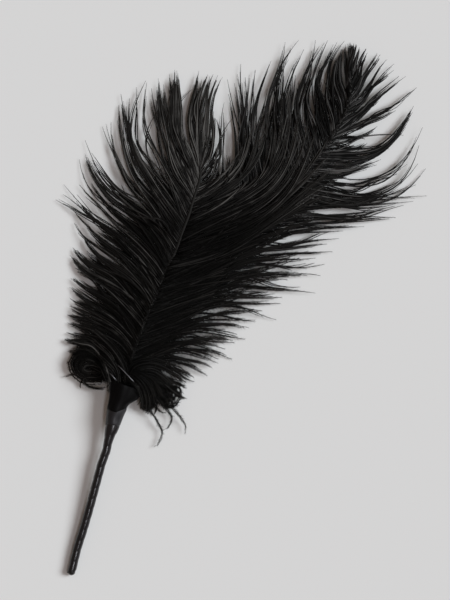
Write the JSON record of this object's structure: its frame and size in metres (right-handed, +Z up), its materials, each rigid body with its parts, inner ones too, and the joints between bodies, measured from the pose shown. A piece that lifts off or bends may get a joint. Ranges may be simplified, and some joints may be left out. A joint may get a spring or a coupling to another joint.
{
  "type": "ostrich feather",
  "caption": "Dyed black ostrich feather pick lying flat: a short and a long plume with drooping, curling barbs, bound to a slightly bent, tape-wrapped wire stem.",
  "frame": {"origin": "middle of the object's outline, on the surface that it lies on", "axes": "+Z up from the surface, +Y from the stem's end towards the feathers' tips, +X across to the right of the stem"},
  "size_m": [0.181, 0.2659, 0.0136],
  "materials": {
    "barbs": "soft, slightly glossy along each barb, dyed black",
    "tape": "satin, waxed navy-black florist's tape",
    "ribbon": "smooth black satin ribbon",
    "fine_wire": "bright fine wire",
    "steel": "dull drawn wire"
  },
  "bodies": {
    "root": {"front_feather": "barbs", "back_feather": "barbs", "stem_wire": "steel", "stem_tape": "tape", "neck_band": "tape", "collar_ribbon": "ribbon", "binding_wire": "fine_wire"}
  },
  "joints": []
}
